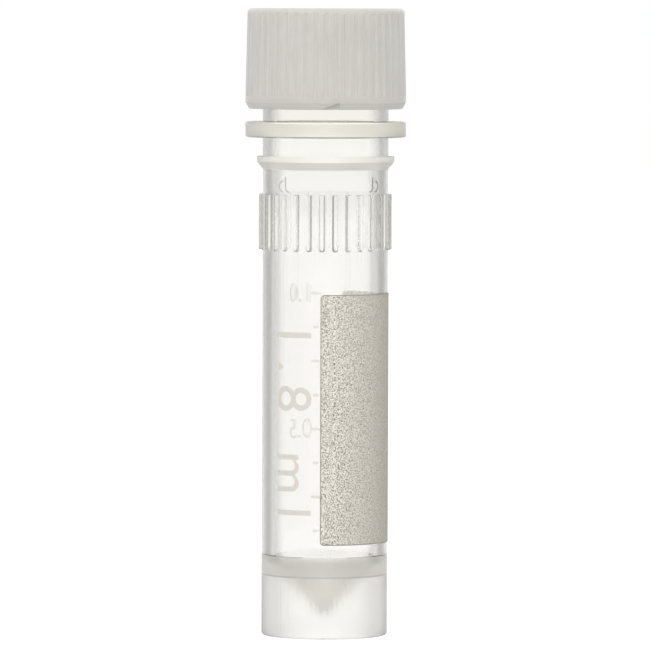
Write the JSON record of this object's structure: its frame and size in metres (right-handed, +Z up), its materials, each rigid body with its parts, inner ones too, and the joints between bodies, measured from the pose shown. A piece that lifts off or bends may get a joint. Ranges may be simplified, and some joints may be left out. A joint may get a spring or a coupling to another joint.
{
  "type": "cryovial",
  "caption": "Upright plastic freezer vial with ribbed screw cap, hanging flange, grip ribs, conical floor in a hollow toothed foot, and a printed writing panel.",
  "frame": {"origin": "centre of the foot's lower rim, on the surface that the vial stands on", "axes": "+Z up along the vial, -Y the front, +X the side that the writing panel wraps round"},
  "size_m": [0.0126, 0.0126, 0.0488],
  "materials": {
    "clear_polypropylene": "natural polypropylene, clear enough to see through, with a faint milky cast",
    "milky_polypropylene": "thick natural polypropylene, milky and softly shining",
    "silicone": "soft translucent silicone rubber",
    "white_ink": "matt off-white printing ink with a fine grain that takes pencil and marker"
  },
  "bodies": {
    "vial": {"vial_tube": "clear_polypropylene", "writing_panel": "white_ink"},
    "washer": {"cap_washer": "silicone"},
    "cap": {"screw_cap": "milky_polypropylene"}
  },
  "joints": [
    {"name": "cap_rise", "type": "slide", "parent": "vial", "child": "washer", "axis": [0, 0, 1], "range_m": [0, 0.0078]},
    {"name": "cap_turn", "type": "hinge", "parent": "washer", "child": "cap", "pos_m": [0, 0, 0.047], "axis": [0, 0, 1], "range_deg": [0, 1080]}
  ],
  "couplings": [
    {"joint": "cap_turn", "follows": "cap_rise", "rad_per_m": 2416.6}
  ]
}
